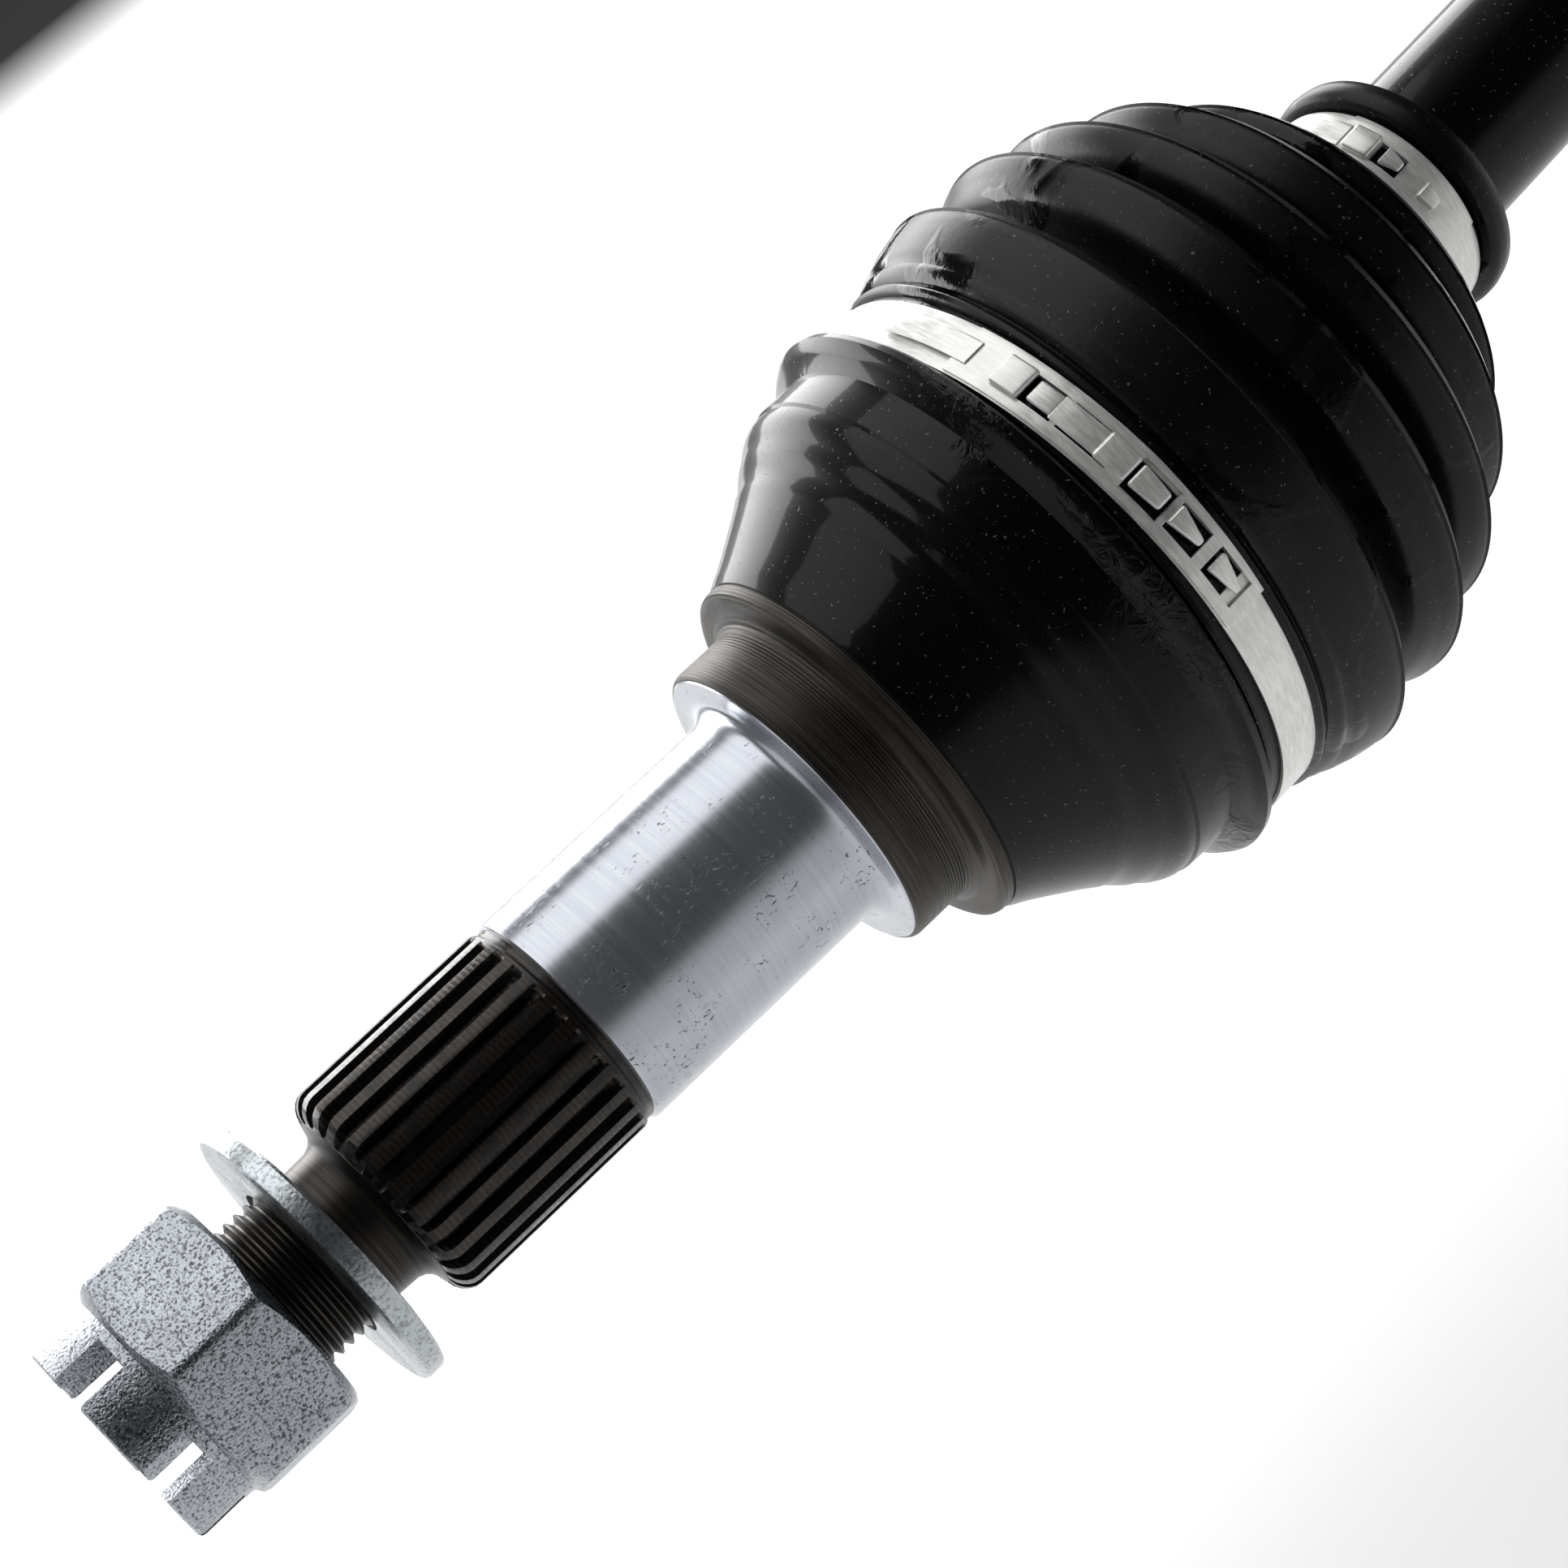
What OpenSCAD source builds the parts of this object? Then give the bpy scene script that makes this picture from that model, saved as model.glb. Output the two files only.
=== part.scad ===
// CV axle (half-shaft): fixed outer joint with a splined wheel stub, bar, and plunging inner joint.
// +X points along the wheel stub towards the nut. The origin is on the stub's axis, at
// mid-length of the ground bearing journal. Lengths in millimetres, angles in degrees.

/* [Wheel stub] */
// Diameter of the ground bearing journal
journal_d = 30; // [28:0.5:32]
// Length of the bearing journal
journal_l = 36.6; // [34:0.2:40]
// Outside diameter of the hub spline
spline_d = 29.8; // [28:0.1:29.9]
// Number of teeth on the hub spline
spline_teeth = 26; // [20:1:30]
// Depth of the spline grooves
spline_depth = 1.5; // [1:0.1:2]
// Length of the hub spline with its relief ring
spline_l = 30.4; // [24:0.2:34]
// Diameter over the stub thread's crests
thread_d = 19.8; // [19:0.1:20]
// Thread pitch
thread_pitch = 1.5; // [1.5:0.5:1.5]
// Diameter of the plain neck between thread and spline
neck_d = 18.8; // [18:0.1:19]
// Diameter of the turned collar behind the journal
collar_d = 41.4; // [38:0.2:44]
// Width of the turned collar
collar_w = 8.4; // [7:0.2:10]

/* [Nut and washer] */
// Across-flats size of the castle nut
nut_af = 30; // [28:0.5:32]
// Height of the nut with its crown
nut_h = 23; // [22:0.5:24]
// Height of the slotted crown
crown_h = 7.8; // [6:0.2:9]
// Outside diameter of the crown
crown_d = 28; // [26:0.5:28.5]
// Width of the crown's six slots
slot_w = 5; // [4:0.1:5.5]
// Turn of the nut's hexagon about the stub
nut_turn = 57; // [0:1:59]
// Position of the nut's inner face along the stub
nut_x = 64.2; // [62:0.2:66]
// Outside diameter of the flat washer
washer_d = 37; // [34:0.5:38]
// Hole through the washer
washer_bore = 21; // [20.8:0.1:22]
// Thickness of the washer
washer_t = 3; // [2:0.5:3]
// Position of the washer's inner face along the stub
washer_x = 55; // [53:0.5:57]

/* [Outer joint] */
// Angle between stub and bar as the part lies
rest_bend = 8; // [0:1:10]
// Distance from the journal's middle to the joint's centre
joint_x = 47; // [46:0.5:48]
// Largest diameter of the bell's rim
rim_d = 81; // [80:0.5:83]
// Diameter of the seat that the boot grips
seat_d = 72; // [71:0.5:73]

/* [Balls and cages] */
// Number of balls in each joint
ball_n = 6; // [6:1:6]
// Ball diameter
ball_d = 13; // [12:0.5:13]
// Radius of the ball centres about the joint's centre
pitch_r = 21; // [21:0.5:21.5]
// Clearance between ball and track
track_gap = 0.75; // [0.7:0.05:0.8]
// Outside radius of both cages
cage_r = 22.8; // [22.6:0.1:22.9]
// Wall of the cages
cage_t = 3.9; // [3.6:0.1:4]
// Half-width of the cages
cage_half = 8.6; // [8.4:0.1:9]
// Half-width of the inner races
race_half = 8.4; // [8:0.1:8.6]

/* [Bar] */
// Distance between the two joint centres
centres = 340; // [300:5:380]
// Bar diameter
bar_d = 24; // [23:0.5:25]
// Diameter of the bar's ends, inside the boots
bar_end_d = 21; // [20:0.5:21]

/* [Outer boot] */
// Wall of both boots
boot_wall = 2.4; // [2:0.1:2.8]
// Distance from joint centre to the small end clamp
small_end = 79.5; // [78:0.5:84]

/* [Inner joint] */
// Outside diameter of the inner housing
cup_d = 70; // [68:0.5:72]
// Depth of the bore on the bar's side of the centre
cup_front = 26; // [25:0.5:27]
// Depth of the bore on the differential's side
cup_back = 34; // [32:0.5:36]
// Diameter of the gearbox seal journal
seal_d = 32; // [30:0.5:34]
// Outside diameter of the gearbox spline
diff_spline_d = 26; // [24:0.5:27]
// Length of the gearbox spline
diff_spline_l = 44; // [38:1:50]

/* [Hidden] */
$fn = 96;

journal_r = journal_d / 2;
collar_r = collar_d / 2;
spline_x0 = journal_l / 2;              // journal end of the spline
spline_x1 = spline_x0 + spline_l;       // nut end of the spline
thread_x0 = washer_x + 0.4;             // inner end of the thread
stub_end = nut_x + 12.3;                // free end of the stub
thread_depth = 0.75;
ball_r = ball_d / 2;
track_r = ball_r + track_gap;
track_arc = 42;                         // half of the arc that a track spans
cavity_r = cage_r + 0.4;                // spherical seat that the cages turn in
race_r = cage_r - cage_t - 0.35;        // spherical outside of the inner races
race_bore = bar_end_d / 2;
bell_mouth = -62;                       // where the bell's mouth starts to flare
band_w = 7.2;                           // clamp bands
band_t = 0.9;
band_x = -66;                           // inner edge of the large clamp band
boot_seat_gap = 0.05;
small_seat_r = bar_d / 2 + boot_wall + 1;
inner_seat_d = 64;                      // boot seat of the inner housing
inner_small = 74;                       // inner joint centre to its small clamp
plain_gap = 0.05;

// Turns a profile drawn as (distance along, radius) about the X axis.
module turned(points, sides = 96) {
    rotate([0, 90, 0]) rotate_extrude($fn = sides)
        polygon([for (p = points) [p[1], p[0]]]);
}

// Places a shape on the bar's own axis, which leaves the outer joint's centre along -X.
module on_bar(share = 1) {
    translate([-joint_x, 0, 0]) rotate([0, 0, rest_bend * share]) children();
}

// Places a shape at the inner joint's centre.
module at_inner() {
    on_bar() translate([-centres, 0, 0]) children();
}

// Straight-sided grooves around a spline, to be cut from it.
module spline_grooves(x0, x1, r, depth, teeth) {
    pitch = 2 * PI * r / teeth;
    for (i = [0:teeth - 1]) rotate([i * 360 / teeth, 0, 0])
        translate([x0, 0, 0]) rotate([90, 0, 90]) linear_extrude(x1 - x0)
            polygon([[-pitch * 0.31, r + 1], [pitch * 0.31, r + 1], [pitch * 0.2, r - depth],
                     [-pitch * 0.2, r - depth]]);
}

// Fixed-joint tracks around the centre, one per ball: arcs of round section.
module round_tracks() {
    for (i = [0:ball_n - 1]) rotate([i * 360 / ball_n + 30, 0, 0])
        rotate([0, 0, 90 - track_arc]) rotate_extrude(angle = 2 * track_arc, $fn = 96)
            translate([pitch_r, 0]) circle(track_r, $fn = 48);
}

// One ball in its place at a joint's centre.
module ball_at(i) {
    rotate([(i - 1) * 360 / ball_n + 30, 0, 0]) translate([0, pitch_r, 0]) sphere(ball_r, $fn = 48);
}

// Spherical cage with a window for each ball.
module cage() {
    difference() {
        intersection() {
            sphere(cage_r);
            rotate([0, 90, 0]) cylinder(r = cage_r + 1, h = 2 * cage_half, center = true);
        }
        sphere(cage_r - cage_t);
        rotate([0, 90, 0]) cylinder(r = race_r * 0.86, h = 3 * cage_half, center = true);
        for (i = [0:ball_n - 1]) rotate([i * 360 / ball_n + 30, 0, 0])
            translate([-ball_r - 0.1, 10, -ball_r - 0.9])
                cube([ball_d + 0.2, 20, ball_d + 1.8]);
    }
}

// Inner race: spherical, with a track under each ball and a bore for the bar's spline.
module inner_race() {
    difference() {
        intersection() {
            sphere(race_r);
            rotate([0, 90, 0]) cylinder(r = race_r + 1, h = 2 * race_half, center = true);
        }
        round_tracks();
        rotate([0, 90, 0]) cylinder(r = race_bore, h = 3 * race_half, center = true);
    }
}

// Round wire ring that holds an inner race on the bar's end.
module race_circlip() {
    turned([[-1, race_bore - 1], [0.2, race_bore - 1], [0.2, race_bore + 1.6], [-1, race_bore + 1.6]]);
}

// One-piece forging: bell, collar, journal, spline and threaded end.
module outer_race() {
    spline_r = spline_d / 2;
    neck_r = neck_d / 2;
    thread_r = thread_d / 2;
    threads = floor((stub_end - 1 - thread_x0) / thread_pitch);
    rim_r = rim_d / 2;
    seat_r = seat_d / 2;
    x = -journal_l / 2;
    color("dimgray") difference() {
        turned([
            [bell_mouth - 6, 0], [bell_mouth - 6, seat_r - 0.6], [bell_mouth - 5.4, seat_r],
            [bell_mouth - 4.4, seat_r], [bell_mouth - 4.4, seat_r - 1], [bell_mouth + 4.2, seat_r - 1],
            [bell_mouth + 4.2, rim_r - 1.5], [bell_mouth + 4.8, rim_r - 0.3], [bell_mouth + 5.6, rim_r],
            [bell_mouth + 6.4, rim_r - 0.5], [bell_mouth + 7.7, rim_r - 3.2], [-48.6, 37], [-48.2, 36.7],
            [-46, 36], [-44.6, 34.9], [-43.6, 34.4], [-41, 32.1], [-33, 27.6], [-30.6, 26], [-29.2, 25.2],
            [-28.2, 24.4],
            [-27.6, 22.6], [x - collar_w, collar_r], [x - 0.8, collar_r], [x, collar_r - 0.8],
            [x, journal_r + 1.6], [x + 0.5, journal_r + 0.6], [x + 1.8, journal_r],
            [spline_x0, journal_r], [spline_x0, spline_r - 0.4], [spline_x0 + 2.2, spline_r - 0.4],
            [spline_x0 + 2.6, spline_r], [spline_x1 - 2, spline_r], [spline_x1 - 0.2, spline_r - 2],
            [spline_x1, spline_r - 3.2], [spline_x1 + 0.5, neck_r + 1], [spline_x1 + 1.8, neck_r],
            [thread_x0 - 1, neck_r], each [for (i = [0:threads - 1]) let (a = thread_x0 + i * thread_pitch)
                each [[a, thread_r - thread_depth], [a + 0.65, thread_r], [a + 0.85, thread_r]]],
            [stub_end - 1, thread_r], [stub_end, thread_r - 1], [stub_end, 0]]);
        translate([-joint_x, 0, 0]) {
            sphere(cavity_r);
            round_tracks();
        }
        // mouth, flared so that the bar clears it at full bend
        turned([[bell_mouth - 7, 0], [bell_mouth - 7, 33.3], [bell_mouth, 30.4], [-53, cavity_r - 0.8],
                [-joint_x, cavity_r - 0.8], [-joint_x, 0]]);
        spline_grooves(spline_x0 + 3, spline_x1 + 1, spline_r, spline_depth, spline_teeth);
        // hole for the cotter pin
        translate([stub_end - 5, 0, 0]) cylinder(d = 4, h = 40, center = true, $fn = 32);
    }
}

// Castle nut: chamfered hexagon with a hollow, slotted crown.
module castle_nut() {
    hex_h = nut_h - crown_h;
    corner_r = nut_af / 2 / cos(30);
    color("silver") translate([nut_x, 0, 0]) difference() {
        union() {
            intersection() {
                rotate([nut_turn, 0, 0]) rotate([0, 90, 0]) cylinder(r = corner_r, h = hex_h, $fn = 6);
                turned([[0, 0], [0, nut_af / 2 - 0.3], [1.6, corner_r + 0.1], [hex_h - 1.6, corner_r + 0.1],
                        [hex_h, nut_af / 2 - 0.6], [hex_h, 0]]);
            }
            turned([[hex_h - 1, 0], [hex_h - 1, crown_d / 2], [nut_h - 0.5, crown_d / 2],
                    [nut_h, crown_d / 2 - 0.5], [nut_h, 0]]);
        }
        rotate([0, 90, 0]) cylinder(r = thread_d / 2 + 0.06, h = 100, center = true);
        translate([hex_h - 0.4, 0, 0]) rotate([0, 90, 0]) cylinder(r = thread_d / 2 + 1.1, h = 30);
        for (i = [0:2]) rotate([nut_turn + i * 60, 0, 0])
            translate([hex_h + 1, -50, -slot_w / 2]) cube([30, 100, slot_w]);
    }
}

// Thick flat washer, loose on the thread.
module washer() {
    color("lightgray") turned([
        [washer_x, washer_bore / 2], [washer_x, washer_d / 2 - 0.4], [washer_x + 0.4, washer_d / 2],
        [washer_x + washer_t - 0.6, washer_d / 2], [washer_x + washer_t, washer_d / 2 - 0.6],
        [washer_x + washer_t, washer_bore / 2]]);
}

module outer_cage() {
    color("slategray") on_bar(0.5) cage();
}

module outer_inner_race() {
    color("gray") on_bar() inner_race();
}

module outer_ball(i) {
    color("gainsboro") on_bar(0.5) ball_at(i);
}

module outer_race_circlip() {
    color("dimgray") on_bar() translate([race_half + 1.05, 0, 0]) race_circlip();
}

// Outline of the outer boot as (distance from the journal's middle, outer radius).
BOOT_CRESTS = [[-78.4, 42.2], [-89, 41.4], [-98.4, 38.6], [-107.4, 34], [-116, 27.8]];
BOOT_VALLEYS = [[-83, 36.4], [-93.2, 34], [-102.6, 30], [-111.4, 24.6]];
BOOT_OUTER = concat(
    [[-58.2, 38], [-58.6, 38.4], [-66.4, 38.4], [-67, 39.4], [-69, 40.2], [-71.6, 41.4]],
    [for (i = [0:3]) each [BOOT_CRESTS[i] + [0.7, -0.4], BOOT_CRESTS[i] + [-0.7, -0.4], BOOT_VALLEYS[i]]],
    [BOOT_CRESTS[4] + [0.7, -0.4], BOOT_CRESTS[4] + [-0.7, -0.8], [-121.6, 18],
     [-joint_x - small_end + 3, small_seat_r], [-joint_x - small_end - 6, small_seat_r],
     [-joint_x - small_end - 6.8, small_seat_r + 1.8], [-joint_x - small_end - 9.8, small_seat_r + 1.8],
     [-joint_x - small_end - 11.6, bar_d / 2 + 1.2]]);

boot_sides = 40;
// Inner radius that leaves the boot its wall, and its two bores, measured at the corners of a ring.
function boot_inner(x, r) =
    (x > bell_mouth - 6 ? seat_d / 2 + boot_seat_gap
    : x < -joint_x - small_end + 6 ? bar_d / 2 + plain_gap
    : max(bar_d / 2 + plain_gap, r - boot_wall)) / cos(180 / boot_sides);
BOOT_LOOP = concat(BOOT_OUTER, [for (i = [len(BOOT_OUTER) - 1:-1:0])
    [BOOT_OUTER[i][0], boot_inner(BOOT_OUTER[i][0], BOOT_OUTER[i][1])]]);

// Share of the bend that a ring of the boot has taken up, from 0 at the bell to 1 at the bar.
function bend_share(x) =
    let (t = min(1, max(0, (-70 - x) / 48))) t * t * (3 - 2 * t);
function bent_point(x, r, turn) =
    let (a = rest_bend * bend_share(x), u = x + joint_x, y = r * cos(turn), z = r * sin(turn))
    [-joint_x + u * cos(a) - y * sin(a), u * sin(a) + y * cos(a), z];

// Boot of the outer joint: a closed sleeve swept along the bent axis.
module outer_boot() {
    n = len(BOOT_LOOP);
    points = [for (j = [0:boot_sides - 1]) for (p = BOOT_LOOP)
        bent_point(p[0], p[1], j * 360 / boot_sides)];
    faces = [for (j = [0:boot_sides - 1]) for (i = [0:n - 1])
        let (k = (j + 1) % boot_sides, m = (i + 1) % n)
        each [[j * n + i, k * n + i, k * n + m], [j * n + i, k * n + m, j * n + m]]];
    color("#202020") polyhedron(points, faces, convexity = 8);
}

// Stepped band with a raised closing lug.
module band(r, x0, lug_w, lug_h) {
    turned([[x0, r], [x0 + band_w, r], [x0 + band_w, r + band_t], [x0, r + band_t]]);
    intersection() {
        turned([[x0 + 0.8, r + band_t - 0.2], [x0 + band_w - 0.8, r + band_t - 0.2],
                [x0 + band_w - 1.6, r + band_t + lug_h], [x0 + 1.6, r + band_t + lug_h]]);
        translate([x0 - 5, 0, -lug_w / 2]) cube([band_w + 10, r + 10, lug_w]);
    }
}

module outer_large_clamp() {
    color("gainsboro") band(38.45, band_x, 24, 1.2);
}

module outer_small_clamp() {
    color("gainsboro") on_bar() band(small_seat_r + 0.05, -small_end - 5.6 + 1.6, 10, 1.2);
}

// Bar with splined ends, necked down inside the boots.
module axle_shaft() {
    end_r = bar_end_d / 2;
    r = bar_d / 2;
    over = race_half + 3;
    color("#181818") on_bar() difference() {
        turned([[over, 0], [over, end_r - 0.8], [over - 0.8, end_r - 0.02], [-race_half - 1, end_r - 0.02],
                [-race_half - 1.6, end_r + 0.9], [-race_half - 3, end_r + 0.9], [-race_half - 5, end_r],
                [-62, end_r], [-72, r], [-centres + 60, r],
                [-centres + 46, end_r + 0.4], [-centres + race_half + 3, end_r + 0.4],
                [-centres + race_half + 1, end_r - 0.02], [-centres - over + 0.8, end_r - 0.02],
                [-centres - over, end_r - 0.8], [-centres - over, 0]]);
        for (x = [race_half, -centres - race_half - 1.4]) translate([x, 0, 0])
            turned([[0, end_r - 1.15], [0, end_r + 3], [1.4, end_r + 3], [1.4, end_r - 1.15]]);
    }
}

// Boot of the inner joint, straight as the part lies.
module inner_boot() {
    seat = inner_seat_d / 2 + boot_seat_gap;
    bore = bar_d / 2 + plain_gap;
    w = boot_wall;
    crests = [[30, 35], [38, 32.6], [46, 29.4], [54, 25.4], [62, 21]];
    outer = concat([[10, seat + w], [22, seat + w]],
        [for (c = crests) each [[c[0] - 1, c[1]], [c[0] + 1, c[1]], [c[0] + 4.2, c[1] - 6]]],
        [[inner_small - 5, bore + w + 1], [inner_small + 5, bore + w + 1], [inner_small + 6, bore + 4.4],
         [inner_small + 9, bore + 4.4], [inner_small + 10.4, bore + 1]]);
    color("#202020") at_inner() turned(concat(outer,
        [for (i = [len(outer) - 1:-1:0])
            [outer[i][0], outer[i][0] < 24 ? seat : outer[i][0] > inner_small - 7 ? bore
             : max(bore, outer[i][1] - w)]]));
}

module inner_large_clamp() {
    color("gainsboro") at_inner() band(inner_seat_d / 2 + boot_wall + 0.1, 13, 22, 1.2);
}

module inner_small_clamp() {
    color("gainsboro") at_inner() band(bar_d / 2 + boot_wall + 1.1, inner_small - 3, 10, 1.2);
}

// Cup of the plunging joint with its splined gearbox stub.
module inner_housing() {
    cup_r = cup_d / 2;
    seal_r = seal_d / 2;
    ds_r = diff_spline_d / 2;
    base = -cup_back - 8;
    seal_end = base - 18;
    tip = seal_end - diff_spline_l;
    front = cup_front - 2;
    color("dimgray") at_inner() difference() {
        turned([[front, 0], [front, inner_seat_d / 2], [8, inner_seat_d / 2], [6, cup_r], [-cup_back, cup_r],
                [base + 2, cup_r - 6], [base, seal_r + 4], [base - 3, seal_r + 1], [base - 3.5, seal_r],
                [seal_end, seal_r], [seal_end - 1.5, ds_r], [tip + 7, ds_r], [tip + 1.5, ds_r],
                [tip, ds_r - 1.5], [tip, 0]]);
        rotate([0, 90, 0]) translate([0, 0, -cup_back]) cylinder(r = cavity_r, h = 100);
        turned([[front + 1, 0], [front + 1, 28.4], [front - 8, cavity_r], [front - 9, 0]]);
        for (i = [0:ball_n - 1]) rotate([i * 360 / ball_n + 30, 0, 0]) translate([-cup_back + 4, pitch_r, 0])
            rotate([0, 90, 0]) cylinder(r = track_r, h = 100, $fn = 48);
        // seat of the stopper ring
        turned([[front - 4, 20], [front - 4, 28.6], [front - 2.4, 28.6], [front - 2.4, 20]]);
        spline_grooves(tip - 1, seal_end - 3, ds_r, 1.3, 24);
        turned([[tip + 4, ds_r - 1.7], [tip + 4, ds_r + 3], [tip + 5.6, ds_r + 3], [tip + 5.6, ds_r - 1.7]]);
    }
}

module inner_cage() {
    color("slategray") at_inner() cage();
}

module inner_inner_race() {
    color("gray") at_inner() inner_race();
}

module inner_ball(i) {
    color("gainsboro") at_inner() ball_at(i);
}

module inner_race_circlip() {
    color("dimgray") at_inner() translate([-race_half - 0.25, 0, 0]) race_circlip();
}

// Spring ring that keeps the balls from leaving the cup.
module inner_stopper_ring() {
    x = cup_front - 2 - 3.9;
    color("dimgray") at_inner() turned([[x, 27.2], [x, 28.5], [x + 1.3, 28.5], [x + 1.3, 27.2]]);
}

// Snap ring near the tip of the gearbox spline.
module inner_stub_circlip() {
    tip = -cup_back - 8 - 18 - diff_spline_l;
    ds_r = diff_spline_d / 2;
    color("dimgray") at_inner()
        turned([[tip + 4.15, ds_r - 1.6], [tip + 4.15, ds_r + 0.5], [tip + 5.45, ds_r + 0.5],
                [tip + 5.45, ds_r - 1.6]]);
}

outer_race();
castle_nut();
washer();
outer_cage();
outer_inner_race();
for (i = [1:ball_n]) outer_ball(i);
outer_race_circlip();
outer_boot();
outer_large_clamp();
outer_small_clamp();
axle_shaft();
inner_boot();
inner_large_clamp();
inner_small_clamp();
inner_housing();
inner_cage();
inner_inner_race();
for (i = [1:ball_n]) inner_ball(i);
inner_race_circlip();
inner_stopper_ring();
inner_stub_circlip();
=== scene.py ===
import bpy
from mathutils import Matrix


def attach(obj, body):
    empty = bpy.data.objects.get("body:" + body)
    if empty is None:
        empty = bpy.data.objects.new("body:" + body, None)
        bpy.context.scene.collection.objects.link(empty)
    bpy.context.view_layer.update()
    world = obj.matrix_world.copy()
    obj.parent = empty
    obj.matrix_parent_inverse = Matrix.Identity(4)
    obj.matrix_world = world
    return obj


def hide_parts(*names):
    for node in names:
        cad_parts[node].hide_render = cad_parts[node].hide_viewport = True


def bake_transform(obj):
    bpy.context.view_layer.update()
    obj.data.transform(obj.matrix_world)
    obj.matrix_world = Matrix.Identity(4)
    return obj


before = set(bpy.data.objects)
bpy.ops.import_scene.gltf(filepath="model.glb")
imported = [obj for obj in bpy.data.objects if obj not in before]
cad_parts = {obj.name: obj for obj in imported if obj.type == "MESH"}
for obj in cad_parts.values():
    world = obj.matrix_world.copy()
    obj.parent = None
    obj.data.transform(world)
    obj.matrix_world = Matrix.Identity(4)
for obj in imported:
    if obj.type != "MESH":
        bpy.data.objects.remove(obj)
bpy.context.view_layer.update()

import math

import bmesh
import bpy
from mathutils import Matrix, Vector

bl_info = {
    "name": "CV axle",
    "version": (1, 0, 0),
    "blender": (4, 5, 0),
    "location": "View3D > Sidebar > CV axle",
    "description": "Builds a half-shaft with its boots, clamps, nut and washer around a packed model",
    "category": "Object",
}

MM = 0.001
JOINT_X = -47.0        # outer joint's centre on the stub's axis
REST_BEND = math.radians(8.0)
CENTRES = 340.0        # between the two joint centres
JOURNAL_R = 15.0
BELL_END = -68.0
FLEX_START = -70.0     # where the outer boot starts to follow the bar
FLEX_LENGTH = 48.0     # and over how long a stretch it does so
SMALL_END = 79.5       # from the outer joint's centre to the middle of the boot's small seat
BAND_X, BAND_WIDTH = -66.0, 7.2      # rear edge and width of the outer boot's large clamp
WASHER_X, WASHER_THICK = 56.5, 3.0   # mid-plane and thickness of the loose washer
NUT_FACE_X = 64.2
PIN_HOLE_X = 71.5
THREAD_PITCH = 1.5
CREASE = 32.0          # degrees between two faces above which the edge between them is drawn sharp
MERGE = 0.0005         # vertices this close, in mm, are one
STRIP_THICK = 0.45
CAMERA_TARGET = (-0.0187, 0.0032, 0.0045)


# ---------------------------------------------------------------- small helpers

def linear(hex_colour):
    """sRGB hex to the linear colour that shaders take."""
    value = hex_colour.lstrip("#")
    channels = [int(value[i:i + 2], 16) / 255 for i in (0, 2, 4)]
    straight = (c / 12.92 if c <= 0.04045 else ((c + 0.055) / 1.055) ** 2.4 for c in channels)
    return (*straight, 1.0)


def bar_matrix(distance=0.0):
    """Frame on the bar's axis, in millimetres: +X runs back towards the outer joint."""
    return (Matrix.Translation((JOINT_X, 0, 0)) @ Matrix.Rotation(REST_BEND, 4, "Z")
            @ Matrix.Translation((-distance, 0, 0)))


def ring(bm, x, radius, segments):
    """One circle of vertices about the X axis; radius is a number or a function of the angle."""
    turn = Matrix.Translation((x, 0, 0)) @ Matrix.Rotation(math.pi / 2, 4, "Y")
    made = bmesh.ops.create_circle(bm, cap_ends=False, segments=segments, radius=1.0, matrix=turn)
    for v in made["verts"]:
        angle = math.atan2(v.co.z, v.co.y)
        r = radius(angle) if callable(radius) else radius
        v.co.y, v.co.z = v.co.y * r, v.co.z * r
    return list({e for v in made["verts"] for e in v.link_edges})


def loft(stations, segments=96, loop=False):
    """Skin over circles given as (x, radius); loop joins the last ring to the first."""
    bm = bmesh.new()
    rings = [ring(bm, x, r, segments) for x, r in stations]
    pairs = list(zip(rings, rings[1:])) + ([(rings[-1], rings[0])] if loop else [])
    for a, b in pairs:
        bmesh.ops.bridge_loops(bm, edges=a + b)
    if not loop:
        bmesh.ops.holes_fill(bm, edges=[e for e in bm.edges if e.is_boundary], sides=0)
    return bm


def turned(profile, steps=160, closed=True):
    """Full spin about X of a profile given as (x, radius)."""
    bm = bmesh.new()
    verts = [bm.verts.new((x, r, 0)) for x, r in profile]
    edges = [bm.edges.new(pair) for pair in zip(verts, verts[1:])]
    if closed:
        edges.append(bm.edges.new((verts[-1], verts[0])))
    bmesh.ops.spin(bm, geom=verts + edges, cent=(0, 0, 0), axis=(1, 0, 0), dvec=(0, 0, 0),
                   angle=2 * math.pi, steps=steps, use_merge=True, use_duplicate=False)
    return bm


def smooth_profile(points, step=0.6, tension=0.5):
    """Rounds a coarse outline: a curve through the points, which pinches where a point has a third item."""
    out = []
    for i in range(len(points) - 1):
        a, b = points[i], points[i + 1]
        p = points[i - 1] if i > 0 and len(a) == 2 else a
        q = points[i + 2] if i + 2 < len(points) and len(b) == 2 else b
        n = max(1, int(math.dist(a[:2], b[:2]) / step))
        for k in range(n):
            t = k / n
            m0 = [(b[j] - p[j]) * tension for j in (0, 1)]
            m1 = [(q[j] - a[j]) * tension for j in (0, 1)]
            h = (2 * t**3 - 3 * t**2 + 1, t**3 - 2 * t**2 + t, -2 * t**3 + 3 * t**2, t**3 - t**2)
            out.append(tuple(h[0] * a[j] + h[1] * m0[j] + h[2] * b[j] + h[3] * m1[j] for j in (0, 1)))
    out.append(tuple(points[-1][:2]))
    return out


def crease(bm, angle):
    """Draws every edge smooth but those that turn by more than this many degrees."""
    for edge in bm.edges:
        edge.smooth = not (edge.is_manifold and edge.calc_face_angle(0.0) > math.radians(angle))


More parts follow.
